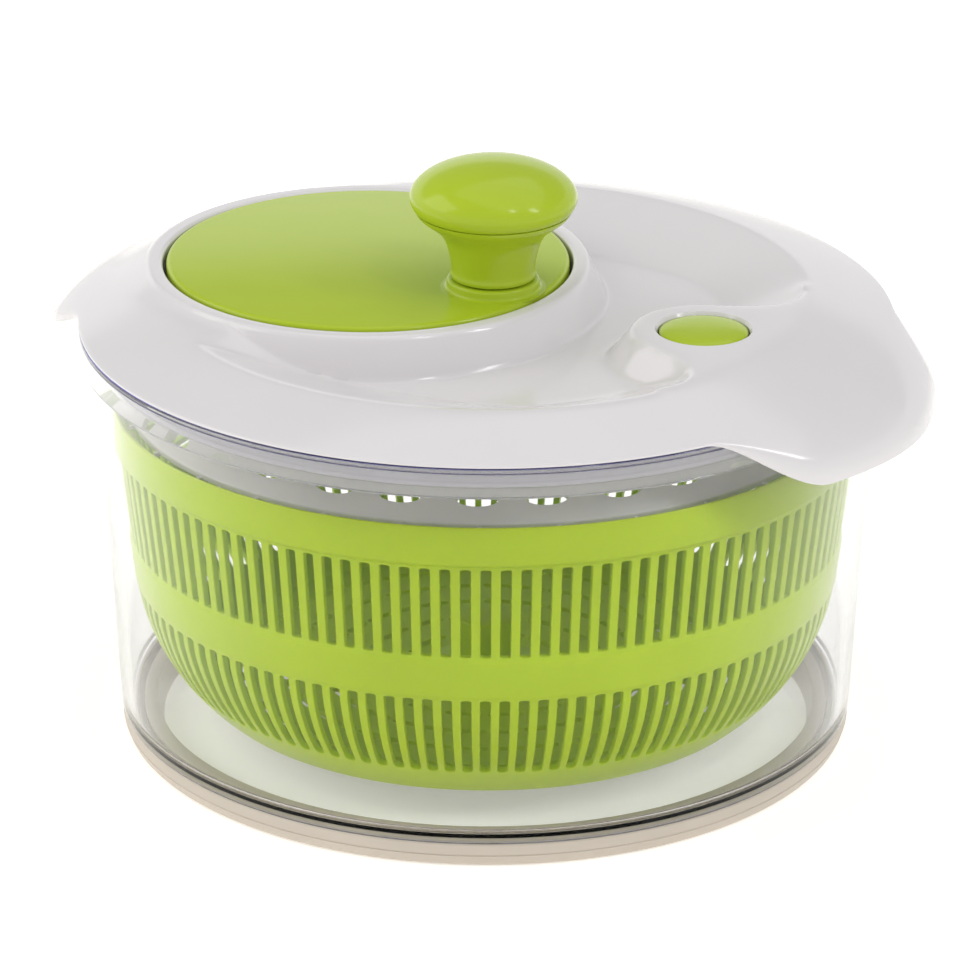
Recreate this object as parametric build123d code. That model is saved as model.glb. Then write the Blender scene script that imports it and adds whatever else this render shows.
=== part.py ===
from build123d import *
import math
import os

# Salad spinner, millimetres. Z is up, the table is z = 0, the bowl's axis is the Z axis,
# and +X points from the bowl to the grip of the lid.

# bowl
bowl_rim_radius = 120.0
bowl_seat_z = 127.2
bowl_rim_height = 7.6
bowl_wall = 2.3
bowl_top_radius = 115.5
bowl_foot_radius = 109.6
bowl_floor_z = 7.2
bowl_floor = 2.6
bowl_corner = 3.0
rim_skirt_wall = 2.2

# non-slip ring under the bowl
foot_inner_radius = 99.0
foot_outer_radius = 109.2
skirt_inner_radius = 103.2
skirt_outer_radius = 106.4
skirt_depth = 4.0

# basket
basket_rim_radius = 110.8
basket_rim_z = 104.0
basket_wall = 2.0
basket_clear_below = 3.2
band_top_z = 93.7
band_mid_top_z = 63.4
band_mid_bottom_z = 51.7
slots_bottom_z = 23.0
belly_top_radius = 104.2
belly_mid_radius = 98.2
belly_mid_z = 30.5
basket_floor_radius = 84.0
slots_per_row = 120
slot_width = 3.0
floor_slot_width = 2.6
floor_slot_circles = (24.0, 36.0, 48.0, 60.0, 72.0)
drive_ribs = 6
rib_first_angle = 6.0
rib_width = 2.0
rib_height = 8.0
rib_clear = 0.9
rib_root = 0.4

# pivot of the basket
pivot_radius = 3.0
pivot_height = 14.0
bush_wall = 2.5
running_gap = 0.05
hub_wall = 2.5

# lid shell
lid_radius = 120.0
lid_edge_z = 128.1
lid_edge_round = 0.6
lid_skin = 2.2
dome_mid_radius = 108.0
dome_mid_z = 132.0
recess_radius = 95.0
recess_edge_z = 135.6
floor_crease_radius = 64.0
lid_floor_z = 125.8
recess_half_angle = 127.0
plug_radius = 112.4
plug_depth = 7.6
plug_wall = 2.0

# grip and pouring lip, both moulded on the lid
grip_tip_radius = 137.0
grip_corner_x = 126.4
grip_half_width = 39.8
grip_root_x = 98.0
grip_root_half_width = 66.0
grip_bottom_z = 111.6
grip_shoulder_z = 121.5
lip_tip_radius = 130.6
lip_corner_x = 120.3
lip_half_width = 49.0
lip_root_x = 100.0
lip_root_half_width = 61.2
lip_bottom_z = 119.0
lip_shoulder_z = 125.0
grip_corner_fillet = 12.0
lip_corner_fillet = 9.0
lobe_fillet_loss = 0.8
skirt_gap = 0.8
lobe_sink = 1.2
lobe_merge_radius = 112.0
lobe_merge_z = 130.7

# crank and its gears
crank_offset = 40.0
crank_disc_radius = 59.8
crank_gap = 1.0
crank_top_z = 138.5
crank_plate = 2.6
crank_skirt_wall = 1.6
crank_skirt_z = 130.0
collar_top_z = 138.0
collar_top_radius = 65.5
collar_foot_radius = 70.6
gear_module = 1.25
pinion_teeth = 16
ring_teeth = pinion_teeth + round(2 * crank_offset / gear_module)
gear_backlash = 0.3
gear_lift = 2.6
ring_gear_outer_radius = 57.9
ring_tip_share = 0.7
pinion_tip_share = 0.9
root_share = 1.25
pressure_angle = 20.0
gear_screws = 4

# axles and bushes in the lid
axle_radius = 4.0
axle_bush_wall = 2.0
boss_wall = 2.6
shaft_radius = 5.0
shaft_bush_wall = 3.0
bush_flange = 0.8
boss_bottom_z = 117.8
shaft_bottom_z = 108.0
thrust_gap = 0.2

# liner that closes the lid from below
liner_z = 119.6
liner_thickness = 1.8
liner_gap = 0.3
liner_screws = 6
liner_screw_circle = 103.0
liner_screw_radius = 1.6
pocket_depth = 4.0

# knob
knob_reach = 44.6
knob_angle = -5.7
knob_boss_radius = 13.6
knob_boss_height = 3.0
knob_play = 0.3
knob_stem_radius = 12.4
knob_flare_radius = 23.1
knob_joint_z = 162.6
knob_head_radius = 24.5
knob_head_z = 166.0
knob_top_z = 177.2
spindle_radius = 3.0

# drive plate over the basket
plate_top_z = 113.6
plate_thickness = 2.0
plate_flat_radius = 92.0
plate_edge_radius = 106.3
plate_edge_z = 104.2
plate_window_pairs = 15
window_pair_half_angle = 5.65
window_first_angle = 14.25
window_radius = 98.4
window_length = 12.0
window_width = 5.6
plate_tabs = 30
tab_first_angle = 9.0
tab_length = 2.2
tab_width = 1.4
tab_height = 1.4
plate_hub_radius = 10.0

# brake
brake_x = 70.0
button_radius = 13.9
button_gap = 0.5
button_top_z = 136.4
button_plate = 3.0
brake_travel = 4.0
pad_clear = 0.6
stem_radius = 5.0
pad_radius = 8.0
spring_wire = 0.5
spring_radius = 7.6
spring_turns = 4
seat_z = 126.0
seat_thickness = 2.0
tongue_tip_x = 47.0
tongue_tip_half = 12.0
tongue_half = 23.5
tongue_root_x = 92.0
tongue_root_half = 33.0
tongue_drop_angle = 42.0

parts_folder = "parts"


def turned(points, at=(0.0, 0.0), turn=360.0):
    """Solid of revolution about a vertical axis, from (radius, height) corners."""
    outline = make_face(Polyline(*[(r, 0, z) for r, z in points], close=True))
    solid = revolve(outline, Axis.Z, turn)
    return Pos(at[0], at[1], 0) * solid


def tube(inner, outer, low, high, at=(0.0, 0.0)):
    """Upright tube between two heights."""
    return turned([(inner, low), (outer, low), (outer, high), (inner, high)], at)


def rod(radius, low, high, at=(0.0, 0.0)):
    """Upright round bar between two heights."""
    return Pos(at[0], at[1], (low + high) / 2) * Cylinder(radius, high - low)


def dome_face(radius, low, top):
    """Half section of an elliptical dome that stands on a flat circle."""
    height = top - low
    points = []
    for step in range(1, 9):
        angle = math.radians(90 * step / 9)
        points.append((radius * math.cos(angle), 0, low + height * math.sin(angle)))
    arc = Spline((radius, 0, low), *points, (0, 0, top), tangents=[(0, 0, 1), (-1, 0, 0)])
    return make_face([arc, Polyline((0, 0, top), (0, 0, low), (radius, 0, low))])


def spots(count, radius, first=0.0):
    """Evenly spaced (x, y, angle) places on a circle."""
    step = 360.0 / count
    return [
        (
            radius * math.cos(math.radians(first + i * step)),
            radius * math.sin(math.radians(first + i * step)),
            first + i * step,
        )
        for i in range(count)
    ]


def involute(angle):
    """Involute function of a pressure angle in radians."""
    return math.tan(angle) - angle


def gear_outline(teeth, root, tip, widen):
    """Closed outline of an external involute gear, with a tooth centred on +X.

    widen is the thickness added to each tooth at the pitch circle.
    """
    pitch = gear_module * teeth / 2
    pressure = math.radians(pressure_angle)
    base = pitch * math.cos(pressure)
    half_at_pitch = math.pi / (2 * teeth) + widen / (2 * pitch)
    low = max(base, root)
    steps = 4
    flank = []
    for i in range(steps + 1):
        r = low + (tip - low) * i / steps
        at_r = math.acos(min(1.0, base / r))
        flank.append((r, half_at_pitch + involute(pressure) - involute(at_r)))
    if root < base:
        flank.insert(0, (root, flank[0][1]))
    points = []
    for k in range(teeth):
        centre = 2 * math.pi * k / teeth
        side = [(r, centre - a) for r, a in flank] + [(r, centre + a) for r, a in reversed(flank)]
        points += [(r * math.cos(a), r * math.sin(a)) for r, a in side]
    return make_face(Polyline(*points, close=True))


# ---------------------------------------------------------------- bowl and its ring

def make_bowl():
    top_inner = bowl_top_radius - bowl_wall
    foot_inner = bowl_foot_radius - bowl_wall
    floor_top = bowl_floor_z + bowl_floor
    rim_low = bowl_seat_z - bowl_rim_height
    rim_web = bowl_seat_z - rim_skirt_wall
    wall_slope = (bowl_top_radius - bowl_foot_radius) / (rim_web - bowl_floor_z)
    seat_inner = top_inner + wall_slope
    body = turned([
        (0, bowl_floor_z),
        (skirt_inner_radius, bowl_floor_z),
        (skirt_inner_radius, bowl_floor_z - skirt_depth),
        (skirt_outer_radius, bowl_floor_z - skirt_depth),
        (skirt_outer_radius, bowl_floor_z),
        (bowl_foot_radius, bowl_floor_z),
        (bowl_top_radius, rim_web),
        (bowl_rim_radius - rim_skirt_wall, rim_web),
        (bowl_rim_radius - rim_skirt_wall, rim_low),
        (bowl_rim_radius, rim_low),
        (bowl_rim_radius, bowl_seat_z),
        (seat_inner, bowl_seat_z),
        (foot_inner, floor_top),
        (0, floor_top),
    ])
    corner = body.edges().filter_by(GeomType.CIRCLE).filter_by(
        lambda e: abs(e.radius - foot_inner) < 0.01
    )
    body = fillet(corner, bowl_corner)
    socket = rod(pivot_radius + hub_wall, floor_top, floor_top + 1.6)
    return body + socket - rod(pivot_radius, floor_top - 1.2, floor_top + 1.6)


def make_foot_ring():
    ring = tube(foot_inner_radius, foot_outer_radius, 0, bowl_floor_z)
    groove = tube(skirt_inner_radius, skirt_outer_radius, bowl_floor_z - skirt_depth, bowl_floor_z)
    edge = ring.edges().filter_by(GeomType.CIRCLE).sort_by(Axis.Z)[:2]
    return fillet(edge, 1.4) - groove


def make_pivot_pin():
    floor_top = bowl_floor_z + bowl_floor
    pin = rod(pivot_radius, floor_top - 1.2, floor_top + pivot_height)
    return chamfer(pin.edges().sort_by(Axis.Z)[-1], 0.8)


# ---------------------------------------------------------------- basket

basket_bottom_z = bowl_floor_z + bowl_floor + basket_clear_below
bush_bottom_z = bowl_floor_z + bowl_floor + 1.6
bush_radius = pivot_radius + running_gap + bush_wall
bush_top_z = bowl_floor_z + bowl_floor + pivot_height + 2.4
hub_bottom_z = bush_bottom_z + 1.6


def make_basket_bush():
    bush = rod(bush_radius, bush_bottom_z, bush_top_z)
    flange = rod(bush_radius + 2.4, bush_bottom_z, hub_bottom_z - thrust_gap)
    bore_top = bowl_floor_z + bowl_floor + pivot_height + 0.6
    return bush + flange - rod(pivot_radius + running_gap, bush_bottom_z - 1, bore_top)


def basket_outline(inset):
    """Half section of the basket's outside, moved inwards by inset."""
    corner = basket_bottom_z + inset
    wall_low = Vector(belly_top_radius - inset, 0, band_mid_bottom_z - 4.5)
    wall_high = Vector(basket_rim_radius - 1.5 - inset, 0, band_top_z)
    belly = ThreePointArc(
        (basket_floor_radius - inset * 0.6, 0, corner),
        (belly_mid_radius - inset, 0, belly_mid_z + inset * 0.6),
        wall_low,
    )
    top = basket_rim_z if inset == 0 else basket_rim_z + 1
    rim = basket_rim_radius - inset
    walls = Polyline(wall_low, wall_high, (rim, 0, band_top_z + 1.2), (rim, 0, top), (0, 0, top))
    close = Polyline((0, 0, top), (0, 0, corner), belly @ 0)
    return make_face([belly, walls, close])


def make_basket():
    shell = revolve(basket_outline(0), Axis.Z) - revolve(basket_outline(basket_wall), Axis.Z)
    band_radius = belly_top_radius + 0.9
    band = turned([
        (band_radius - 1.6, band_mid_bottom_z),
        (band_radius + 0.25, band_mid_bottom_z),
        (band_radius + 1.3, band_mid_top_z),
        (band_radius - 0.6, band_mid_top_z),
    ])
    hub_low = hub_bottom_z
    hub_high = bush_top_z + 1.0
    hub_bore = bush_radius + running_gap
    hub = rod(hub_bore + hub_wall, hub_low, hub_high + 2.0)
    dish = turned([(0, basket_bottom_z), (16, basket_bottom_z), (16, basket_bottom_z + 2.0), (0, hub_high)])
    shell = shell + band + hub + dish
    shell = shell - rod(hub_bore, basket_bottom_z - 1, hub_high)
    shell = shell - rod(bush_radius + 2.4 + 0.4, basket_bottom_z - 1, hub_low)
    cutters = []
    for x, y, angle in spots(slots_per_row, 1.0):
        turn = Rot(0, 0, angle)
        for low, high in ((band_mid_top_z, band_top_z), (slots_bottom_z, band_mid_bottom_z)):
            middle = (low + high) / 2
            cutters.append(turn * Pos(basket_rim_radius - 9, 0, middle) * Box(30, slot_width, high - low))
    for circle in floor_slot_circles:
        count = 6 * round(2 * math.pi * circle / 6 / 11)
        sweep = 360.0 / count * 0.68
        half = floor_slot_width / 2
        slit = [
            (circle - half, basket_bottom_z - 1),
            (circle + half, basket_bottom_z - 1),
            (circle + half, basket_bottom_z + basket_wall + 1),
            (circle - half, basket_bottom_z + basket_wall + 1),
        ]
        for x, y, angle in spots(count, 1.0):
            cutters.append(Rot(0, 0, angle) * turned(slit, turn=sweep))
    shell = shell - cutters
    rib_in = plate_edge_radius + rib_clear
    rib_out = basket_rim_radius - basket_wall + rib_root
    for x, y, angle in spots(drive_ribs, (rib_in + rib_out) / 2, rib_first_angle):
        rib = Box(rib_out - rib_in, rib_width, rib_height)
        shell = shell + Pos(x, y, basket_rim_z - rib_height / 2) * Rot(0, 0, angle) * rib
    return shell


# ---------------------------------------------------------------- lid shell

def dome(inset):
    """Everything under the lid's dome, its skin moved down by inset."""
    arc = ThreePointArc(
        (lid_radius - lid_edge_round, 0, lid_edge_z - inset),
        (dome_mid_radius, 0, dome_mid_z - inset),
        (recess_radius, 0, recess_edge_z - inset),
    )
    low = bowl_seat_z - plug_depth
    rest = Polyline(
        arc @ 1, (0, 0, recess_edge_z - inset), (0, 0, low), (lid_radius, 0, low),
        (lid_radius, 0, lid_edge_z - lid_edge_round - inset), arc @ 0,
    )
    return revolve(make_face([arc, rest]), Axis.Z)


def tongue(inset):
    """Raised peninsula that carries the brake button, as a tapered block."""
    drop = recess_edge_z - lid_floor_z + 4
    outline = make_face(Polyline(
        (tongue_tip_x + inset, tongue_tip_half - inset),
        (brake_x, tongue_half - inset),
        (tongue_root_x, tongue_root_half - inset),
        (recess_radius + 8, tongue_root_half + 4),
        (recess_radius + 8, -tongue_root_half - 4),
        (tongue_root_x, -tongue_root_half + inset),
        (brake_x, -tongue_half + inset),
        (tongue_tip_x + inset, -tongue_tip_half + inset),
        close=True,
    ))
    tips = outline.vertices().sort_by(Axis.X)[:2]
    outline = fillet(tips, (tongue_tip_half - inset) * 0.8)
    block = extrude(outline, drop, taper=-tongue_drop_angle, dir=(0, 0, -1))
    return Pos(0, 0, recess_edge_z - inset) * block


def recess(inset):
    """The crescent hollow around the crank: what it removes from the dome."""
    floor = lid_floor_z - inset
    edge = recess_radius + inset * 0.3
    top = recess_edge_z + 10
    ring = turned([
        (0, floor), (floor_crease_radius, floor), (edge, recess_edge_z - inset), (edge, top), (0, top),
    ])
    slope_x = recess_radius * math.cos(math.radians(recess_half_angle)) - inset
    ramp = Pos(slope_x, 0, recess_edge_z - inset) * Rot(0, 28, 0) * Box(
        200, 400, 100, align=(Align.MAX, Align.CENTER, Align.CENTER)
    )
    hollow = ring - ramp - tongue(inset)
    return hollow


crank_at = (-crank_offset, 0.0)
well_radius = crank_disc_radius + crank_gap


def collar():
    """Raised ring round the crank disc, down to the lid's floor."""
    body = turned([
        (0, lid_floor_z - 0.5),
        (collar_foot_radius, lid_floor_z - 0.5),
        (collar_top_radius, collar_top_z),
        (0, collar_top_z),
    ], crank_at)
    return body


def well():
    """Round well that the crank turns in."""
    return rod(well_radius, lid_floor_z, collar_top_z + 20, crank_at)


def lobe_plan(tip, corner_x, half, root_x, root_half, corner_fillet, inset):
    """Plan of a lobe that grows out of the rim, as one face."""
    arc = ThreePointArc((corner_x - inset, -half + inset), (tip - inset, 0), (corner_x - inset, half - inset))
    sides = Polyline(
        arc @ 1, (root_x, root_half - inset), (root_x, -root_half + inset), arc @ 0,
    )
    face = make_face([arc, sides])
    corners = face.vertices().filter_by_position(Axis.X, corner_x - inset - 1, tip)
    return fillet(corners, corner_fillet - inset * lobe_fillet_loss)


def lobe_body(tip, corner_x, half, root_x, root_half, shoulder, bottom, corner_fillet, inset):
    """Lobe under the dome's run-out, its skin moved in by inset."""
    plan = lobe_plan(tip, corner_x, half, root_x, root_half, corner_fillet, inset)
    height = recess_edge_z - bottom
    prism = Pos(0, 0, bottom - (0 if inset == 0 else 2)) * extrude(plan, height + 4)
    drop = ThreePointArc(
        (recess_radius, 0, recess_edge_z - lobe_sink - inset),
        (lobe_merge_radius, 0, lobe_merge_z - inset),
        (tip - inset, 0, shoulder - inset),
    )
    top = recess_edge_z - lobe_sink - inset
    rest = Polyline(drop @ 1, (tip - inset, 0, bottom - 4), (0, 0, bottom - 4), (0, 0, top), drop @ 0)
    return prism & revolve(make_face([drop, rest]), Axis.Z)


def grip(inset):
    return lobe_body(
        grip_tip_radius, grip_corner_x, grip_half_width, grip_root_x, grip_root_half_width,
        grip_shoulder_z, grip_bottom_z, grip_corner_fillet, inset,
    )


def lip(inset):
    body = lobe_body(
        lip_tip_radius, lip_corner_x, lip_half_width, lip_root_x, lip_root_half_width,
        lip_shoulder_z, lip_bottom_z, lip_corner_fillet, inset,
    )
    return Rot(0, 0, 180) * body


boss_radius_axle = axle_radius + running_gap + axle_bush_wall
boss_radius_shaft = shaft_radius + running_gap + shaft_bush_wall
axle_boss_top_z = lid_floor_z + 4.8
liner_top_z = liner_z + liner_thickness


def make_lid_shell():
    plug_inner = plug_radius - plug_wall
    low = bowl_seat_z - plug_depth
    rim_room = tube(plug_radius, lid_radius + 1, low - 1, bowl_seat_z)
    bowl_room = rod(bowl_rim_radius + skirt_gap, low - 20, bowl_seat_z)
    outside = dome(0) - rim_room + (grip(0) + lip(0) - bowl_room)
    under_dome = dome(lid_skin) & rod(plug_inner, low - 20, recess_edge_z + 1)
    under_lobes = grip(lid_skin) + lip(lid_skin) - rod(lid_radius, low - 20, recess_edge_z + 1)
    shell = outside - recess(0) - (under_dome - recess(lid_skin)) - under_lobes
    floor_plate = rod(well_radius + 3.0, lid_floor_z - lid_skin, lid_floor_z, crank_at)
    shell = shell + collar() + floor_plate - well()
    shell = shell + rod(boss_radius_axle + boss_wall, boss_bottom_z + 2, axle_boss_top_z, crank_at)
    shell = shell + rod(boss_radius_shaft + boss_wall, boss_bottom_z, lid_floor_z)
    shell = shell - rod(boss_radius_axle, boss_bottom_z - 1, axle_boss_top_z + 1, crank_at)
    shell = shell - rod(boss_radius_shaft, boss_bottom_z - 1, lid_floor_z + 1)
    guide = rod(button_radius + button_gap + 2.0, seat_z - seat_thickness, button_top_z + 9, (brake_x, 0))
    shell = shell + (guide & (dome(0) - recess(0)))
    shell = shell - rod(button_radius + button_gap, seat_z, button_top_z + 20, (brake_x, 0))
    shell = shell - rod(stem_radius + 0.3, seat_z - 10, seat_z + 1, (brake_x, 0))
    for x, y, angle in spots(liner_screws, liner_screw_circle, 30.0):
        post = rod(4.2, liner_top_z, dome_mid_z, (x, y))
        shell = shell + (post & dome(0))
        shell = shell - rod(liner_screw_radius, liner_top_z - 1, liner_top_z + 7, (x, y))
    return shell


# ---------------------------------------------------------------- liner and its screws

pocket_radius = boss_radius_axle + boss_wall + 3.4


def make_lid_liner():
    plate = rod(plug_radius - plug_wall - liner_gap, liner_z, liner_top_z)
    pocket = rod(pocket_radius + 1.6, liner_z - pocket_depth, liner_top_z, crank_at)
    plate = plate + pocket
    plate = plate - rod(pocket_radius, liner_z - pocket_depth + 1.6, liner_top_z + 1, crank_at)
    plate = plate - rod(boss_radius_shaft + boss_wall + 0.3, liner_z - 1, liner_top_z + 1)
    plate = plate - rod(pad_radius + 0.8, liner_z - 1, liner_top_z + 1, (brake_x, 0))
    for x, y, angle in spots(liner_screws, liner_screw_circle, 30.0):
        plate = plate - rod(liner_screw_radius + 0.2, liner_z - 1, liner_top_z + 1, (x, y))
    return plate


def make_liner_screws():
    screws = []
    for x, y, angle in spots(liner_screws, liner_screw_circle, 30.0):
        shank = rod(liner_screw_radius, liner_z, liner_top_z + 6.4, (x, y))
        head = rod(3.0, liner_z - 1.8, liner_z, (x, y))
        cross = Pos(x, y, liner_z - 1.8) * (Box(3.2, 0.8, 1.6) + Box(0.8, 3.2, 1.6))
        screws.append(shank + head - cross)
    return Compound(children=screws)


# ---------------------------------------------------------------- bushes, axle and clip

def make_axle_bush():
    bush = tube(axle_radius + running_gap, boss_radius_axle, boss_bottom_z + 2, axle_boss_top_z, crank_at)
    flange = tube(
        axle_radius + running_gap, boss_radius_axle + boss_wall,
        axle_boss_top_z, axle_boss_top_z + bush_flange, crank_at,
    )
    return bush + flange


def make_shaft_bush():
    bush = tube(shaft_radius + running_gap, boss_radius_shaft, boss_bottom_z, lid_floor_z)
    flange = tube(
        shaft_radius + running_gap, boss_radius_shaft + boss_wall,
        lid_floor_z, lid_floor_z + bush_flange,
    )
    return bush + flange


crank_under_z = crank_top_z - crank_plate
hub_low_z = axle_boss_top_z + bush_flange + thrust_gap
clip_top_z = boss_bottom_z + 2 - thrust_gap
clip_thickness = 1.0
clip_groove = 1.0
axle_bottom_z = clip_top_z - clip_thickness - 0.9


def make_crank_axle():
    pin = rod(axle_radius, axle_bottom_z, crank_under_z + 0.8, crank_at)
    groove = tube(axle_radius - clip_groove, axle_radius + 1, clip_top_z - clip_thickness, clip_top_z, crank_at)
    return pin - groove


def make_axle_clip():
    ring = tube(axle_radius - clip_groove, axle_radius + 2.6, clip_top_z - clip_thickness, clip_top_z, crank_at)
    mouth = Pos(crank_at[0] + axle_radius + 2, 0, clip_top_z) * Box(8, 2 * axle_radius - 3, 8)
    return ring - mouth


# ---------------------------------------------------------------- crank disc and ring gear

gear_low_z = lid_floor_z + gear_lift
ring_pitch = gear_module * ring_teeth / 2
ring_root = ring_pitch + root_share * gear_module
ring_tip = ring_pitch - ring_tip_share * gear_module
gear_screw_circle = (ring_root + ring_gear_outer_radius) / 2
gear_boss_radius = (ring_gear_outer_radius - ring_root) / 2 - 0.8
gear_screw_radius = 1.0
gear_boss_drop = 3.4
knob_at = (
    crank_at[0] + knob_reach * math.cos(math.radians(knob_angle)),
    knob_reach * math.sin(math.radians(knob_angle)),
)
spindle_bottom_z = crank_under_z


def gear_screw_spots():
    return [(crank_at[0] + x, y) for x, y, a in spots(gear_screws, gear_screw_circle, 45.0)]


def make_crank_disc():
    disc = rod(crank_disc_radius, crank_under_z, crank_top_z, crank_at)
    disc = fillet(disc.edges().sort_by(Axis.Z)[-1], 1.5)
    skirt = tube(crank_disc_radius - crank_skirt_wall, crank_disc_radius, crank_skirt_z, crank_under_z, crank_at)
    hub = rod(axle_radius + 4.0, hub_low_z, crank_under_z, crank_at)
    boss = rod(knob_boss_radius, crank_top_z, crank_top_z + knob_boss_height, knob_at)
    boss = fillet(boss.edges().sort_by(Axis.Z)[-1], 1.0)
    disc = disc + skirt + hub + boss
    for spot in gear_screw_spots():
        disc = disc + rod(gear_boss_radius, crank_under_z - gear_boss_drop, crank_under_z, spot)
        disc = disc - rod(gear_screw_radius, crank_under_z - gear_boss_drop - 1, crank_under_z + 0.8, spot)
    disc = disc - rod(axle_radius, hub_low_z - 1, crank_under_z + 0.8, crank_at)
    return disc - rod(spindle_radius, spindle_bottom_z - 1, crank_top_z + knob_boss_height + 1, knob_at)


def make_ring_gear():
    inside = gear_outline(ring_teeth, ring_tip, ring_root, gear_backlash / 2)
    blank = Pos(crank_at[0], crank_at[1], gear_low_z) * extrude(
        Circle(ring_gear_outer_radius) - inside, crank_under_z - gear_low_z
    )
    for spot in gear_screw_spots():
        blank = blank - rod(gear_boss_radius + 0.1, crank_under_z - gear_boss_drop, crank_under_z + 1, spot)
        blank = blank - rod(gear_screw_radius + 0.15, gear_low_z - 1, crank_under_z, spot)
        blank = blank - rod(2.0, gear_low_z - 1, gear_low_z + 1.4, spot)
    return blank


def make_gear_screws():
    screws = []
    for spot in gear_screw_spots():
        shank = rod(gear_screw_radius, gear_low_z + 1.4, crank_under_z + 0.6, spot)
        head = rod(1.9, gear_low_z + 0.2, gear_low_z + 1.4, spot)
        screws.append(shank + head - Pos(spot[0], spot[1], gear_low_z + 0.2) * Box(2.4, 0.6, 1.0))
    return Compound(children=screws)


# ---------------------------------------------------------------- knob

stem_low_z = crank_top_z + knob_boss_height + knob_play
spindle_top_z = knob_joint_z - 3.0


def make_knob_spindle():
    pin = rod(spindle_radius, spindle_bottom_z, spindle_top_z, knob_at)
    return pin - rod(1.25, spindle_top_z - 8, spindle_top_z + 1, knob_at)


def make_knob_stem():
    x, y = knob_at
    low = stem_low_z
    side = Spline(
        (knob_stem_radius, 0, low + 3.0),
        (knob_stem_radius + 1.0, 0, low + 8.6),
        (knob_stem_radius + 2.7, 0, knob_joint_z - 8.0),
        (knob_flare_radius - 3.6, 0, knob_joint_z - 4.0),
        (knob_flare_radius, 0, knob_joint_z),
        tangents=[(0, 0, 1), (1, 0, 0.9)],
    )
    rest = Polyline(
        (knob_flare_radius, 0, knob_joint_z), (0, 0, knob_joint_z), (0, 0, low),
        (knob_stem_radius, 0, low), (knob_stem_radius, 0, low + 3.0),
    )
    body = Pos(x, y, 0) * revolve(make_face([side, rest]), Axis.Z)
    body = body - rod(spindle_radius + running_gap, low - 1, spindle_top_z + 0.2, knob_at)
    return body - rod(spindle_radius + 3.2, spindle_top_z, knob_joint_z + 1, knob_at)


def make_knob_head():
    low = knob_joint_z
    over = dome_face(knob_head_radius, knob_head_z, knob_top_z)
    brow = Pos(0, 0, knob_head_z) * Circle(knob_head_radius)
    seat = Pos(0, 0, low) * Circle(knob_flare_radius)
    lower = loft([seat, brow])
    body = Pos(*knob_at, 0) * (revolve(over, Axis.Z) + lower)
    return body - rod(spindle_radius + 3.2, low - 1, low + 4.0, knob_at)


def make_knob_screw():
    head = rod(spindle_radius + 1.8, spindle_top_z + thrust_gap, spindle_top_z + 2.2, knob_at)
    shank = rod(1.25, spindle_top_z - 7, spindle_top_z + thrust_gap, knob_at)
    cross = Pos(*knob_at, spindle_top_z + 2.2) * (Box(4, 0.9, 2) + Box(0.9, 4, 2))
    return head + shank - cross


# ---------------------------------------------------------------- drive: pinion, shaft, plate

washer_low_z = lid_floor_z + bush_flange + thrust_gap
washer_high_z = washer_low_z + 0.8
pinion_high_z = crank_under_z - 1.1
pinion_pitch = gear_module * pinion_teeth / 2
hub_high_z = boss_bottom_z - 0.5
screw_face_z = shaft_bottom_z


def make_drive_pinion():
    outline = gear_outline(
        pinion_teeth,
        pinion_pitch - root_share * gear_module,
        pinion_pitch + pinion_tip_share * gear_module,
        -gear_backlash / 2,
    )
    blank = Pos(0, 0, washer_high_z) * extrude(outline, pinion_high_z - washer_high_z)
    return blank - rod(shaft_radius, washer_high_z - 1, pinion_high_z + 1)


def make_drive_shaft():
    bar = rod(shaft_radius, shaft_bottom_z, pinion_high_z)
    bar = chamfer(bar.edges().sort_by(Axis.Z)[-1], 0.6)
    return bar - rod(1.8, shaft_bottom_z - 1, shaft_bottom_z + 10)


def make_drive_washer():
    return tube(shaft_radius, boss_radius_shaft + boss_wall - 1.4, washer_low_z, washer_high_z)


def make_drive_plate():
    top, thick = plate_top_z, plate_thickness
    body = turned([
        (shaft_radius, shaft_bottom_z),
        (plate_hub_radius, shaft_bottom_z),
        (plate_hub_radius, top - thick),
        (plate_flat_radius - 0.8, top - thick),
        (plate_edge_radius - 2.2, plate_edge_z - 0.2),
        (plate_edge_radius, plate_edge_z - 0.6),
        (plate_edge_radius, plate_edge_z + 1.4),
        (plate_flat_radius, top),
        (plate_hub_radius, top),
        (plate_hub_radius, hub_high_z),
        (shaft_radius, hub_high_z),
    ])
    slope = math.degrees(math.atan2(top - plate_edge_z - 1.4, plate_edge_radius - plate_flat_radius))
    z_at_window = top - (window_radius - plate_flat_radius) * math.tan(math.radians(slope))
    cutters = []
    oval = extrude(Ellipse(window_width / 2, window_length / 2), 6, both=True)
    for side in (-window_pair_half_angle, window_pair_half_angle):
        for x, y, angle in spots(plate_window_pairs, 1.0, window_first_angle + side):
            cutters.append(Rot(0, 0, angle) * Pos(window_radius, 0, z_at_window) * Rot(0, slope, 0) * oval)
    body = body - cutters
    for x, y, angle in spots(plate_tabs, plate_edge_radius + tab_length / 4, tab_first_angle):
        body = body + Pos(x, y, plate_edge_z) * Rot(0, 0, angle) * Box(tab_length, tab_width, tab_height)
    return body


def make_plate_screw():
    head = rod(plate_hub_radius - 2.5, screw_face_z - 2.4, screw_face_z)
    shank = rod(1.8, screw_face_z, screw_face_z + 9)
    return head + shank - Pos(0, 0, screw_face_z - 2.4) * (Box(6, 1, 2) + Box(1, 6, 2))


# ---------------------------------------------------------------- brake

brake_at = (brake_x, 0.0)
button_under_z = button_top_z - button_plate
foot_top_z = seat_z - seat_thickness - thrust_gap
foot_low_z = foot_top_z - 2.0
pad_low_z = plate_top_z + brake_travel + pad_clear
skirt_low_z = seat_z + brake_travel + 0.4


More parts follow.
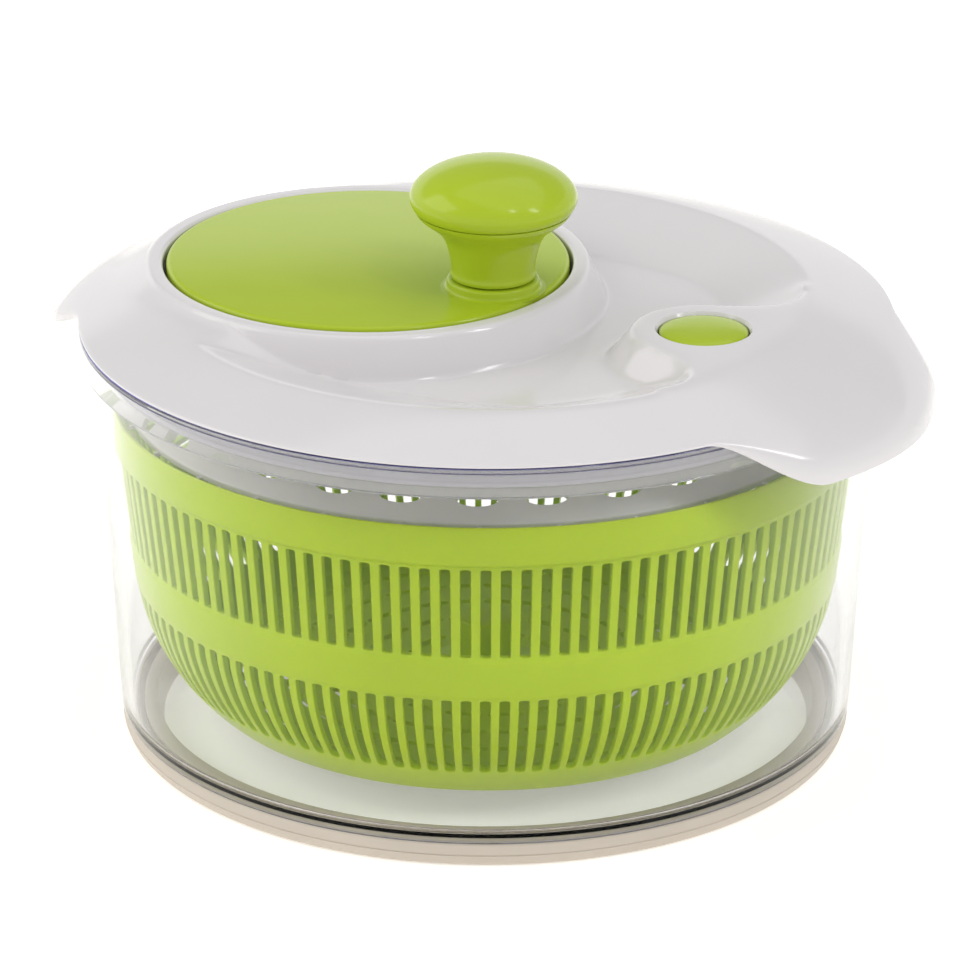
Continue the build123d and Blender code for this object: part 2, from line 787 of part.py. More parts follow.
def make_brake_button():
    crown = revolve(dome_face(button_radius, button_under_z + 1.0, button_top_z), Axis.Z)
    cap = Pos(*brake_at, 0) * crown + rod(button_radius, button_under_z, button_under_z + 1.0, brake_at)
    skirt = tube(button_radius - 1.8, button_radius, skirt_low_z, button_under_z, brake_at)
    sleeve = tube(stem_radius - 1.4, stem_radius, button_under_z - 3.0, button_under_z, brake_at)
    return cap + skirt + sleeve


def make_brake_plunger():
    stem = rod(stem_radius, foot_top_z, button_under_z - 3.0, brake_at)
    nib = rod(stem_radius - 1.4, button_under_z - 3.0, button_under_z, brake_at)
    foot = rod(pad_radius, foot_low_z, foot_top_z, brake_at)
    return stem + nib + foot


def make_brake_pad():
    pad = rod(pad_radius, pad_low_z, foot_low_z, brake_at)
    return chamfer(pad.edges().sort_by(Axis.Z)[0], 0.6)


def make_brake_spring():
    height = button_under_z - seat_z - 2 * spring_wire
    path = Helix(height / spring_turns, height, spring_radius, center=(brake_x, 0, seat_z + spring_wire))
    section = Plane(path @ 0, x_dir=(0, 0, 1), z_dir=path % 0) * Circle(spring_wire)
    return sweep(section, path, is_frenet=True)


# ---------------------------------------------------------------- write the parts

makers = {
    "bowl": make_bowl,
    "foot_ring": make_foot_ring,
    "pivot_pin": make_pivot_pin,
    "basket_bush": make_basket_bush,
    "basket": make_basket,
    "lid_shell": make_lid_shell,
    "lid_liner": make_lid_liner,
    "liner_screws": make_liner_screws,
    "axle_bush": make_axle_bush,
    "shaft_bush": make_shaft_bush,
    "crank_axle": make_crank_axle,
    "axle_clip": make_axle_clip,
    "crank_disc": make_crank_disc,
    "ring_gear": make_ring_gear,
    "gear_screws": make_gear_screws,
    "knob_spindle": make_knob_spindle,
    "knob_stem": make_knob_stem,
    "knob_head": make_knob_head,
    "knob_screw": make_knob_screw,
    "drive_pinion": make_drive_pinion,
    "drive_shaft": make_drive_shaft,
    "drive_washer": make_drive_washer,
    "drive_plate": make_drive_plate,
    "plate_screw": make_plate_screw,
    "brake_button": make_brake_button,
    "brake_plunger": make_brake_plunger,
    "brake_pad": make_brake_pad,
    "brake_spring": make_brake_spring,
}

os.makedirs(parts_folder, exist_ok=True)
for name, maker in makers.items():
    export_step(maker(), f"{parts_folder}/{name}.step")
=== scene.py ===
import bpy
import math
import numpy as np
from mathutils import Matrix, Vector


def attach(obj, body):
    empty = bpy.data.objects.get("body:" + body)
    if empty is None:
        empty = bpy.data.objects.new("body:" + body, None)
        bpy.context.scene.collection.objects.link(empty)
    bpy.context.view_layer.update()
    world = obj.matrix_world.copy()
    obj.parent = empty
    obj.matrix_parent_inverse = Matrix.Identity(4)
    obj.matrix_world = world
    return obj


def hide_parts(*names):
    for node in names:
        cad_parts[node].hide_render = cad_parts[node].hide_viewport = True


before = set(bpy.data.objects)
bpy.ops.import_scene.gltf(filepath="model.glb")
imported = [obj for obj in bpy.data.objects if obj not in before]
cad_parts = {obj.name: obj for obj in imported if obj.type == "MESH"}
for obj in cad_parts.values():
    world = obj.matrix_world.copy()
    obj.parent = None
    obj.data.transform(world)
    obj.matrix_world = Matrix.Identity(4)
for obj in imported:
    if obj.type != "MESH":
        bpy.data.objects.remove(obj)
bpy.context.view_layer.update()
mm = 0.001  # metres in a millimetre


def linear(hexColour):
    channels = [int(hexColour[i:i + 2], 16) / 255 for i in (1, 3, 5)]
    return tuple(c / 12.92 if c <= 0.04045 else ((c + 0.055) / 1.055) ** 2.4 for c in channels) + (1.0,)


def addNode(tree, kind, settings=None, links=None):
    node = tree.nodes.new(kind)
    for key, value in (settings or {}).items():
        if isinstance(key, int) or key in node.inputs:
            node.inputs[key].default_value = value
        else:
            setattr(node, key, value)
    for key, source in (links or {}).items():
        tree.links.new(source, node.inputs[key])
    return node


def newMaterial(name):
    material = bpy.data.materials.new(name)
    material.use_nodes = True
    material.node_tree.nodes.clear()
    return material, material.node_tree


def finishMaterial(tree, shader):
    addNode(tree, "ShaderNodeOutputMaterial", links={"Surface": shader})


def smoothShade(piece, degrees=32.0):
    piece.data.shade_smooth()
    piece.data.set_sharp_from_angle(angle=math.radians(degrees))


def meshPiece(name, points, faces, material, body, slot, nodes=(), sharp=32.0):
    mesh = bpy.data.meshes.new(name)
    mesh.from_pydata([tuple(p) for p in points], [], faces)
    mesh.validate()
    piece = bpy.data.objects.new(name, mesh)
    bpy.context.scene.collection.objects.link(piece)
    mesh.materials.append(material)
    smoothShade(piece, sharp)
    register(piece, body, nodes)
    return piece


def register(piece, body, nodes):
    if body:
        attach(piece, body)
    if nodes:
        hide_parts(*nodes)


def rounded(corners, steps=5):
    # (r, z, fillet) corners of an open profile, each corner replaced by an arc
    points = [Vector(c[:2]) for c in corners]
    out = [points[0]]
    for i in range(1, len(corners) - 1):
        corner, radius = points[i], corners[i][2]
        if radius <= 0:
            out.append(corner)
            continue
        a = (points[i - 1] - corner).normalized()
        b = (points[i + 1] - corner).normalized()
        half = a.angle(b) / 2
        reach = radius / math.tan(half)
        reach = min(reach, (points[i - 1] - corner).length * 0.49, (points[i + 1] - corner).length * 0.49)
        used = reach * math.tan(half)
        centre = corner + (a + b).normalized() * (used / math.sin(half))
        start, end = corner + a * reach - centre, corner + b * reach - centre
        turn = start.angle_signed(end)
        for k in range(steps + 1):
            angle = -turn * k / steps
            c, s = math.cos(angle), math.sin(angle)
            out.append(centre + Vector((start.x * c - start.y * s, start.x * s + start.y * c)))
    out.append(points[-1])
    return [(p.x, p.y) for p in out]


def lathe(profile, count=192, centre=(0.0, 0.0)):
    # points (in metres) and faces of a turned shape, from an open or closed profile in millimetres
    closed = profile[0] == profile[-1]
    ring = profile[:-1] if closed else profile
    points, faces, starts = [], [], []
    for r, z in ring:
        starts.append((len(points), r < 1e-6))
        if r < 1e-6:
            points.append((centre[0] * mm, centre[1] * mm, z * mm))
            continue
        for k in range(count):
            a = 2 * math.pi * k / count
            points.append(((centre[0] + r * math.cos(a)) * mm, (centre[1] + r * math.sin(a)) * mm, z * mm))
    pairs = list(zip(starts, starts[1:])) + ([(starts[-1], starts[0])] if closed else [])
    for (low, lowTip), (high, highTip) in pairs:
        if lowTip and highTip:
            continue
        for k in range(count):
            n = (k + 1) % count
            if lowTip:
                faces.append((low, high + n, high + k))
            elif highTip:
                faces.append((low + k, low + n, high))
            else:
                faces.append((low + k, low + n, high + n, high + k))
    return points, faces


def turnedPiece(name, profile, material, body, slot, nodes=(), count=192, centre=(0.0, 0.0), sharp=32.0):
    points, faces = lathe(profile, count, centre)
    return meshPiece(name, points, faces, material, body, slot, nodes, sharp)


def sideFaces(start, n):
    # quads between two rings of n points that follow each other
    return [(start + i, start + (i + 1) % n, start + n + (i + 1) % n, start + n + i) for i in range(n)]


def scratchPiece(name, points, faces):
    return meshPiece(name, points, faces, bpy.data.materials[0], None, None)


def cutWith(piece, cutter, solver="MANIFOLD"):
    modifier = piece.modifiers.new("cut", "BOOLEAN")
    modifier.operation = "DIFFERENCE"
    modifier.solver = solver
    modifier.object = cutter
    applyModifiers(piece)
    bpy.data.objects.remove(cutter)


def applyModifiers(piece):
    bpy.context.view_layer.update()
    graph = bpy.context.evaluated_depsgraph_get()
    mesh = bpy.data.meshes.new_from_object(piece.evaluated_get(graph))
    piece.modifiers.clear()
    old, piece.data = piece.data, mesh
    bpy.data.meshes.remove(old)


def bevelEdges(piece, width, angle=35.0, segments=2):
    modifier = piece.modifiers.new("edge", "BEVEL")
    modifier.width = width * mm
    modifier.segments = segments
    modifier.limit_method = "ANGLE"
    modifier.angle_limit = math.radians(angle)
    modifier.use_clamp_overlap = True
    applyModifiers(piece)
    smoothShade(piece, 40)


def smoothMax(a, b, k):
    return 0.5 * (a + b + np.sqrt((a - b) ** 2 + k * k))


def smoothMin(a, b, k):
    return 0.5 * (a + b - np.sqrt((a - b) ** 2 + k * k))


def ease(t):
    t = np.clip(t, 0.0, 1.0)
    return t * t * (3 - 2 * t)


def mouldedPlastic(
    name, colour, roughness, grainMm, grainDepth, subsurface=0.0, coat=0.0, shine=0.5, varied=0.03,
):
    # varied is how far the colour drifts along the melt's flow, as a share of itself
    material, tree = newMaterial(name)
    place = addNode(tree, "ShaderNodeTexCoord").outputs["Object"]
    grain = addNode(tree, "ShaderNodeTexNoise", {"Scale": 1 / (grainMm * mm), "Detail": 3.0}, {"Vector": place})
    flow = addNode(tree, "ShaderNodeTexNoise", {"Scale": 1 / (28 * mm), "Detail": 2.0}, {"Vector": place})
    base = Vector(linear(colour)[:3])
    tone = addNode(tree, "ShaderNodeValToRGB", links={"Fac": flow.outputs["Fac"]})
    tone.color_ramp.elements[0].color = (*(base * (1 - varied)), 1)
    tone.color_ramp.elements[1].color = (*(base * (1 + varied)), 1)
    tone.color_ramp.elements[0].position = 0.35
    tone.color_ramp.elements[1].position = 0.65
    polish = addNode(tree, "ShaderNodeMapRange", {
        "From Min": 0.3, "From Max": 0.7, "To Min": roughness * 0.88, "To Max": roughness * 1.15,
    }, {"Value": flow.outputs["Fac"]})
    bump = addNode(tree, "ShaderNodeBump", {"Strength": 1.0, "Distance": grainDepth * mm}, {
        "Height": grain.outputs["Fac"],
    })
    shader = addNode(tree, "ShaderNodeBsdfPrincipled", {
        "Specular IOR Level": shine, "Subsurface Weight": subsurface, "Subsurface Radius": (1.0, 1.0, 0.8),
        "Subsurface Scale": 2.0 * mm, "Coat Weight": coat, "Coat Roughness": 0.05,
    }, {
        "Base Color": tone.outputs["Color"], "Roughness": polish.outputs["Result"],
        "Normal": bump.outputs["Normal"],
    })
    finishMaterial(tree, shader.outputs["BSDF"])
    return material


whiteAbs = mouldedPlastic(
    "white ABS, polished mould", "#d9d6d8", 0.17, 1.2, 0.004, subsurface=0.05, coat=0.15, varied=0.006,
)  # even white with a crisp gloss and a faint flow in the reflections
limeAbs = mouldedPlastic(
    "lime ABS, polished mould", "#a8be29", 0.16, 1.2, 0.003, subsurface=0.06, shine=0.3, varied=0.012,
)  # saturated yellow green, mirror-like on the knob
limePp = mouldedPlastic(
    "lime polypropylene, satin mould", "#c6e22b", 0.33, 0.8, 0.008, shine=0.35, subsurface=0.3, varied=0.02,
)  # softer shine than the knob and a waxy glow in the thin ribs
whitePp = mouldedPlastic(
    "natural polypropylene, satin mould", "#edece6", 0.38, 0.8, 0.008, subsurface=0.25, varied=0.015,
)  # milky grey white, dull beside the lid


sanLook = {
    "clear": "#f9f9fb", "violet": "#5c5cd2", "passing": "#fbfbfd", "wallShine": (0.12, 0.12, 0.13, 1.0),
    "footBand": (106.6, 112.0), "footHeight": (4.0, 8.4), "footShare": 0.25, "seatHeight": (126.9, 130.0),
    "rimHeight": (117.0, 130.0), "waveMm": 18.0, "waveDepth": 0.01, "ior": 1.57, "roughness": 0.02,
}


def clearSan(look):
    # styrene acrylonitrile from a polished mould: clear walls with faint waves
    # the violet of thick edges is painted on by height and radius, and the walls mirror less than real SAN
    material, tree = newMaterial("clear SAN, polished mould")
    place = addNode(tree, "ShaderNodeTexCoord").outputs["Object"]
    axes = addNode(tree, "ShaderNodeSeparateXYZ", links={"Vector": place})
    flat = addNode(tree, "ShaderNodeCombineXYZ", links={"X": axes.outputs["X"], "Y": axes.outputs["Y"]})
    radius = addNode(tree, "ShaderNodeVectorMath", {"operation": "LENGTH"}, {
        0: flat.outputs["Vector"],
    }).outputs["Value"]

    def within(value, low, high, soft):
        # 1 between two distances in millimetres, 0 outside them
        up = addNode(tree, "ShaderNodeMapRange", {
            "From Min": (low - soft) * mm, "From Max": low * mm, "interpolation_type": "SMOOTHSTEP",
        }, {"Value": value}).outputs["Result"]
        down = addNode(tree, "ShaderNodeMapRange", {
            "From Min": (high + soft) * mm, "From Max": high * mm, "interpolation_type": "SMOOTHSTEP",
        }, {"Value": value}).outputs["Result"]
        return addNode(tree, "ShaderNodeMath", {"operation": "MULTIPLY"}, {0: up, 1: down}).outputs["Value"]

    lowEdge = addNode(tree, "ShaderNodeMath", {"operation": "MULTIPLY"}, {
        0: within(radius, *look["footBand"], 0.4), 1: within(axes.outputs["Z"], *look["footHeight"], 0.6),
    }).outputs["Value"]
    seat = within(axes.outputs["Z"], *look["seatHeight"], 0.3)
    faint = addNode(tree, "ShaderNodeMath", {"operation": "MULTIPLY", 1: look["footShare"]}, {
        0: lowEdge,
    }).outputs["Value"]
    edges = addNode(tree, "ShaderNodeMath", {"operation": "MAXIMUM"}, {0: faint, 1: seat}).outputs["Value"]
    band = addNode(tree, "ShaderNodeMix", {
        "data_type": "RGBA", 6: linear(look["clear"]), 7: linear(look["violet"]),
    }, {0: edges})
    waves = addNode(tree, "ShaderNodeTexNoise", {"Scale": 1 / (look["waveMm"] * mm), "Detail": 1.0}, {
        "Vector": place,
    })
    bump = addNode(tree, "ShaderNodeBump", {"Strength": 1.0, "Distance": look["waveDepth"] * mm}, {
        "Height": waves.outputs["Fac"],
    })
    shine = addNode(tree, "ShaderNodeMix", {
        "data_type": "RGBA", 6: look["wallShine"], 7: (1.0, 1.0, 1.0, 1.0),
    }, {0: within(axes.outputs["Z"], *look["rimHeight"], 2.0)})
    glass = addNode(tree, "ShaderNodeBsdfPrincipled", {
        "Transmission Weight": 1.0, "IOR": look["ior"], "Roughness": look["roughness"],
    }, {"Base Color": band.outputs[2], "Specular Tint": shine.outputs[2], "Normal": bump.outputs["Normal"]})
    passing = addNode(tree, "ShaderNodeBsdfTransparent", {"Color": linear(look["passing"])})
    shadow = addNode(tree, "ShaderNodeLightPath").outputs["Is Shadow Ray"]
    mix = addNode(tree, "ShaderNodeMixShader", links={
        0: shadow, 1: glass.outputs["BSDF"], 2: passing.outputs["BSDF"],
    })
    finishMaterial(tree, mix.outputs["Shader"])
    return material


san = clearSan(sanLook)
footTpe = mouldedPlastic(
    "natural thermoplastic rubber, matt mould", "#c6bcb0", 0.5, 0.6, 0.01, subsurface=0.35, varied=0.02,
)  # warm beige and milky, with a soft edge
padRubber = mouldedPlastic(
    "black rubber, matt mould", "#2b2b2c", 0.6, 0.5, 0.02, varied=0.05,
)  # dead black, no glint
acetal = mouldedPlastic(
    "white acetal, turned", "#e3e1da", 0.3, 0.5, 0.004, subsurface=0.1,
)  # creamy, slightly waxy


def metal(name, colour, roughness, lineMm):
    # fine marks round the bar from turning or drawing, which stretch the highlights across it
    material, tree = newMaterial(name)
    place = addNode(tree, "ShaderNodeTexCoord").outputs["Object"]
    stretch = 12.0
    lines = addNode(tree, "ShaderNodeMapping", {"Scale": (1.0, 1.0, stretch)}, {"Vector": place})
    marks = addNode(tree, "ShaderNodeTexNoise", {"Scale": 1 / (lineMm * stretch * mm), "Detail": 2.0}, {
        "Vector": lines.outputs["Vector"],
    })
    rough = addNode(tree, "ShaderNodeMapRange", {"To Min": roughness * 0.8, "To Max": roughness * 1.3}, {
        "Value": marks.outputs["Fac"],
    })
    bump = addNode(tree, "ShaderNodeBump", {"Strength": 0.6, "Distance": 0.01 * mm}, {
        "Height": marks.outputs["Fac"],
    })
    shader = addNode(tree, "ShaderNodeBsdfPrincipled", {"Base Color": linear(colour), "Metallic": 1.0},
                     {"Roughness": rough.outputs["Result"], "Normal": bump.outputs["Normal"]})
    finishMaterial(tree, shader.outputs["BSDF"])
    return material


stainless = metal("stainless steel, turned", "#c4c6c8", 0.25, 0.3)  # cool grey with fine rings
springWire = metal("zinc-plated spring wire, drawn", "#b4b8be", 0.35, 0.2)  # bluish, slightly dull
print("materials ready")


bowl = {
    "rimR": 120.0, "seatZ": 127.2, "rimDrop": 9.2, "wall": 2.3, "topR": 115.5, "footR": 109.6,
    "floorZ": 7.2, "floor": 2.6, "rimWall": 2.2, "ribIn": 103.2, "ribOut": 106.4, "ribDrop": 4.0,
    "socketR": 5.5, "pinR": 3.0, "edge": 0.7,
}  # millimetres


def bowlProfile(b):
    web = b["seatZ"] - b["rimWall"]
    top = b["floorZ"] + b["floor"]
    low = b["seatZ"] - b["rimDrop"]
    e = b["edge"]
    return rounded([
        (0, b["floorZ"], 0), (b["ribIn"], b["floorZ"], 0.4), (b["ribIn"], b["floorZ"] - b["ribDrop"], e),
        (b["ribOut"], b["floorZ"] - b["ribDrop"], e), (b["ribOut"], b["floorZ"], 0.4),
        (b["footR"], b["floorZ"], 1.5), (b["topR"], web, 0.8), (b["rimR"] - b["rimWall"], web, 0.5),
        (b["rimR"] - b["rimWall"], low, 0.5), (b["rimR"], low, e), (b["rimR"], b["seatZ"] - 0.02, e),
        (b["topR"] - b["wall"] + 0.05, b["seatZ"] - 0.02, 1.0), (b["footR"] - b["wall"], top, 3.0),
        (b["socketR"], top, 0.4), (b["socketR"], top + 1.6, 0.3), (b["pinR"] + 0.02, top + 1.6, 0.2),
        (b["pinR"] + 0.02, top - 1.2, 0), (0, top - 1.2, 0),
    ])


turnedPiece("bowl_shell", bowlProfile(bowl), san, "bowl", "clear_bowl", ("bowl",), 288)

foot = {
    "inner": 99.0, "outer": 109.2, "height": 7.2, "grooveIn": 103.2, "grooveOut": 106.4, "depth": 4.0,
    "slack": -0.06, "tuck": 1.1, "lineZ": 3.8, "lineDepth": 0.35,
}  # the rubber is moulded on, so it reaches 0.06 mm into the bowl


def footProfile(f):
    low, high = f["height"] - f["depth"] - f["slack"], f["height"] - f["slack"]
    grooveIn, grooveOut = f["grooveIn"] - f["slack"], f["grooveOut"] + f["slack"]
    middle = 104.0
    return rounded([
        (middle, 0.0, 0), (f["outer"] - f["tuck"], 0.0, 2.6), (f["outer"], f["lineZ"] - 0.3, 0.1),
        (f["outer"] - f["lineDepth"], f["lineZ"], 0.1), (f["outer"], f["lineZ"] + 0.3, 0.1),
        (f["outer"], high, 0.6), (grooveOut, high, 0.3), (grooveOut, low, 0.2),
        (grooveIn, low, 0.2), (grooveIn, high, 0.3),
        (f["inner"], high, 0.5), (f["inner"], 0.0, 1.2), (middle, 0.0, 0),
    ])


turnedPiece("foot_band", footProfile(foot), footTpe, "bowl", "foot_rubber", ("foot_ring",), 192)
print("bowl ready")


basket = {
    "rimR": 110.8, "rimZ": 106.2, "bandZ": 93.7, "bandStep": 1.5, "wall": 2.0,
    "midTopZ": 63.4, "midLowZ": 51.7, "slotLowZ": 23.0, "bellyR": 104.2, "bellyZ": 47.2,
    "bendR": 98.2, "bendZ": 30.5, "floorR": 84.0, "floorZ": 13.0,
    "slots": 120, "slotWidth": 3.0, "firstSlot": 1.0,
    "circles": (24.0, 36.0, 48.0, 60.0, 72.0), "slitWidth": 2.6, "slitShare": 0.68,
    "hubBore": 5.6, "hubR": 8.1, "hubLow": 13.0, "hubHigh": 29.2, "edge": 0.3,
}  # millimetres


def basketRadius(b, z):
    # outside of the wall at height z, between the floor corner and the top band
    if z >= b["bellyZ"]:
        share = (z - b["bellyZ"]) / (b["bandZ"] - b["bellyZ"])
        return b["bellyR"] + share * (b["rimR"] - b["bandStep"] - b["bellyR"])
    x1, y1 = b["floorR"], b["floorZ"]
    x2, y2 = b["bendR"], b["bendZ"]
    x3, y3 = b["bellyR"], b["bellyZ"]
    d = 2 * (x1 * (y2 - y3) + x2 * (y3 - y1) + x3 * (y1 - y2))
    s1, s2, s3 = x1 * x1 + y1 * y1, x2 * x2 + y2 * y2, x3 * x3 + y3 * y3
    cx = (s1 * (y2 - y3) + s2 * (y3 - y1) + s3 * (y1 - y2)) / d
    cy = (s1 * (x3 - x2) + s2 * (x1 - x3) + s3 * (x2 - x1)) / d
    radius = math.hypot(x1 - cx, y1 - cy)
    return cx + math.sqrt(max(radius * radius - (z - cy) ** 2, 0.0))


def basketWall(b):
    # one sheet, column by column, with a window left open for each slot
    pitch = 2 * math.pi / b["slots"]
    half = b["slotWidth"] / 2
    points, index = [], {}

    def corner(column, side, r, z):
        # side is the place across the column in millimetres from its middle, or "edge"
        if side == "edge":
            angle = pitch * (column - 0.5)
        else:
            angle = pitch * column + side / r
        key = (round(angle % (2 * math.pi), 6) % round(2 * math.pi, 6), round(r, 4), round(z, 4))
        if key not in index:
            index[key] = len(points)
            turn = angle + math.radians(b["firstSlot"])
            points.append((r * math.cos(turn) * mm, r * math.sin(turn) * mm, z * mm))
        return index[key]

    def solid(column, rows):
        ring = []
        for r, z in rows:
            row = [corner(column, s, r, z) for s in ("edge", -half, 0.0, half)]
            ring.append(row + [corner(column + 1, "edge", r, z)])
        for a, c in zip(ring, ring[1:]):
            for k in range(4):
                faces.append((a[k], a[k + 1], c[k + 1], c[k]))

    def slotted(column, rows):
        ring = [[corner(column, "edge", r, z), corner(column, -half, r, z), corner(column, half, r, z),
                 corner(column + 1, "edge", r, z)] for r, z in rows]
        for a, c in zip(ring, ring[1:]):
            faces.append((a[0], a[1], c[1], c[0]))
            faces.append((a[2], a[3], c[3], c[2]))

    def slotEnd(column, zOpen, zClosed, depth):
        # rounded end of a slot: depth is how far the arc runs past zOpen towards zClosed
        away = 1 if zClosed > zOpen else -1
        steps = 3
        arcs = []
        for sign in (-1, 1):
            arc = []
            for k in range(steps + 1):
                t = math.pi / 2 * k / steps
                z = zOpen + away * depth * math.sin(t)
                side = sign * half * math.cos(t) if k < steps else 0.0
                arc.append(corner(column, side, basketRadius(b, z), z))
            arcs.append(arc)
        rOpen, rClosed = basketRadius(b, zOpen), basketRadius(b, zClosed)
        left = [
            corner(column, "edge", rClosed, zClosed), corner(column, -half, rClosed, zClosed),
            corner(column, 0.0, rClosed, zClosed), *arcs[0][::-1], corner(column, "edge", rOpen, zOpen),
        ]
        right = [
            corner(column + 1, "edge", rClosed, zClosed), corner(column, half, rClosed, zClosed),
            corner(column, 0.0, rClosed, zClosed), *arcs[1][::-1], corner(column + 1, "edge", rOpen, zOpen),
        ]
        faces.append(tuple(left if away < 0 else left[::-1]))
        faces.append(tuple(right[::-1] if away < 0 else right))

    faces = []
    rim, band = b["rimR"], b["bandZ"]
    proud = 0.55
    lowRows = [(basketRadius(b, z), z) for z in (13.0, 13.5, 14.5, 16.0, 18.0, 20.2, 22.0)]
    beltLow, beltTop = b["midLowZ"], b["midTopZ"]
    lowR, topR = basketRadius(b, beltLow), basketRadius(b, beltTop)
    belt = [
        (basketRadius(b, beltLow - 0.9), beltLow - 0.9), (lowR + proud * 0.9, beltLow + 0.1),
        (lowR + proud, beltLow + 0.6), (topR + proud, beltTop - 0.6),
        (topR + proud * 0.9, beltTop - 0.1), (basketRadius(b, beltTop + 0.9), beltTop + 0.9),
    ]
    collar = [
        (basketRadius(b, band - 0.7), band - 0.7), (basketRadius(b, band), band), (rim - 0.2, band + 0.9),
        (rim, band + 1.4), (rim, b["rimZ"] - 0.5), (rim - 0.3, b["rimZ"] - 0.08), (rim - 0.7, b["rimZ"]),
    ]
    floorIn = b["floorR"] - 6.0
    lip = [(floorIn, b["floorZ"]), (b["floorR"] - 2.0, b["floorZ"])]
    lower = np.linspace(b["slotLowZ"] + 1.5, beltLow - 1.5, 9)
    upper = np.linspace(beltTop + 1.5, band - 1.3, 7)
    for column in range(b["slots"]):
        solid(column, lip + lowRows)
        slotEnd(column, lower[0], 22.0, 1.4)
        slotted(column, [(basketRadius(b, z), z) for z in lower])
        slotEnd(column, lower[-1], beltLow - 0.9, 0.35)
        solid(column, belt)
        slotEnd(column, upper[0], beltTop + 0.9, 0.35)
        slotted(column, [(basketRadius(b, z), z) for z in upper])
        slotEnd(column, upper[-1], band - 0.7, 0.35)
        solid(column, collar)
    return points, faces


wall = meshPiece("basket_wall", *basketWall(basket), limePp, "basket", "lime_basket", ("basket",))
thick = wall.modifiers.new("wall", "SOLIDIFY")
thick.thickness = basket["wall"] * mm
thick.offset = -1.0
thick.use_even_offset = True
applyModifiers(wall)
bevelEdges(wall, basket["edge"], 40.0, 1)


def slitCutters(b):
    points, faces = [], []
    for circle in b["circles"]:
        count = 6 * round(2 * math.pi * circle / 66)
        sweep = 2 * math.pi / count * b["slitShare"]
        inner, outer = circle - b["slitWidth"] / 2, circle + b["slitWidth"] / 2
        cap = b["slitWidth"] / 2
        for k in range(count):
            first = 2 * math.pi * k / count + math.radians(b["firstSlot"])
            outline = []
            for i in range(7):
                outline.append((outer, first + sweep * i / 6))
            for i in range(1, 4):
                t = math.pi * i / 4
                outline.append((circle + cap * math.cos(t), first + sweep + cap * math.sin(t) / circle))
            for i in range(7):
                outline.append((inner, first + sweep * (1 - i / 6)))
            for i in range(1, 4):
                t = math.pi * i / 4
                outline.append((circle - cap * math.cos(t), first - cap * math.sin(t) / circle))
            n = len(outline)
            start = len(points)
            for z in (b["floorZ"] - 2, b["floorZ"] + 5):
                points += [(r * math.cos(a) * mm, r * math.sin(a) * mm, z * mm) for r, a in outline]
            faces.append(tuple(range(start + n - 1, start - 1, -1)))
            faces.append(tuple(range(start + n, start + 2 * n)))
            faces += sideFaces(start, n)
    return points, faces


floorTop = basket["floorZ"] + basket["wall"]
floorProfile = rounded([
    (basket["floorR"] - 5.5, basket["floorZ"] + 0.02, 0), (16.0, basket["floorZ"] + 0.02, 0.5),
    (basket["hubR"] + 0.3, basket["hubLow"] + 1.6, 0.3), (basket["hubR"] + 0.3, basket["hubLow"], 0.3),
    (basket["hubBore"], basket["hubLow"], 0.3), (basket["hubBore"], basket["hubHigh"], 0.1),
    (basket["hubBore"] - 5.55, basket["hubHigh"], 0.01), (0.05, basket["hubHigh"] + 2.0, 0.01),
    (basket["hubR"], basket["hubHigh"] + 2.0, 0.8), (basket["hubR"] + 0.6, floorTop + 3.0, 3.0),
    (18.0, floorTop - 0.02, 2.0), (basket["floorR"] - 5.5, floorTop - 0.02, 0),
    (basket["floorR"] - 5.5, basket["floorZ"] + 0.02, 0),
])
floorDisc = turnedPiece("basket_floor", floorProfile, limePp, "basket", "lime_basket", (), 240)
cutWith(floorDisc, scratchPiece("slits", *slitCutters(basket)))
smoothShade(floorDisc, 35)
print("basket ready", len(wall.data.vertices), len(floorDisc.data.vertices))


lid = {
    "rimR": 120.0, "crestR": 95.5, "crestZ": 135.6, "fall": -0.2422, "bow": -0.002671,
    "floorZ": 125.8, "crease": 64.5, "creaseWide": 6.5, "rampFrom": 105.0, "rampTo": 127.0,
    "axis": -40.0, "wellR": 60.8, "collarZ": 138.0, "collarR": 65.5, "collarSlope": 2.22,
    "sideSlope": 0.64, "seatZ": 127.22, "plugR": 112.4, "plugWall": 2.0, "plugLow": 119.6,
    "skin": 2.3, "jointR": 120.8, "brakeX": 70.8, "brakeR": 13.4, "brakeSeat": 126.0,
    "around": 720, "across": 118,
}  # millimetres and degrees
grip = {"reach": 12.5, "crown": 4.5, "half": 31.5, "shoulder": 16.0, "roll": 20.0, "turn": 10.0, "low": 111.7}
lip = {"reach": 10.2, "crown": 0.0, "half": 31.0, "shoulder": 11.0, "roll": 8.0, "turn": 6.0, "low": 118.8}
tongueEdge = [
    (50.0, 0.0), (51.0, 6.0), (53.2, 10.5), (59.0, 16.6), (66.0, 20.0), (75.0, 24.6), (80.5, 29.0),
    (83.6, 35.5), (83.4, 42.0), (81.0, 50.0), (100.0, 62.0), (112.0, 30.0),
]  # half of the raised tongue's top edge, from its tip


def spline(points, steps):
    # Catmull-Rom through points
    out = []
    for i in range(len(points) - 1):
        p = [np.array(points[min(max(i + k, 0), len(points) - 1)]) for k in (-1, 0, 1, 2)]
        for k in range(steps):
            t = k / steps
            out.append(0.5 * (2 * p[1] + (p[2] - p[0]) * t + (2 * p[0] - 5 * p[1] + 4 * p[2] - p[3]) * t * t
                              + (3 * p[1] - p[0] - 3 * p[2] + p[3]) * t ** 3))
    out.append(np.array(points[-1], float))
    return np.array(out)


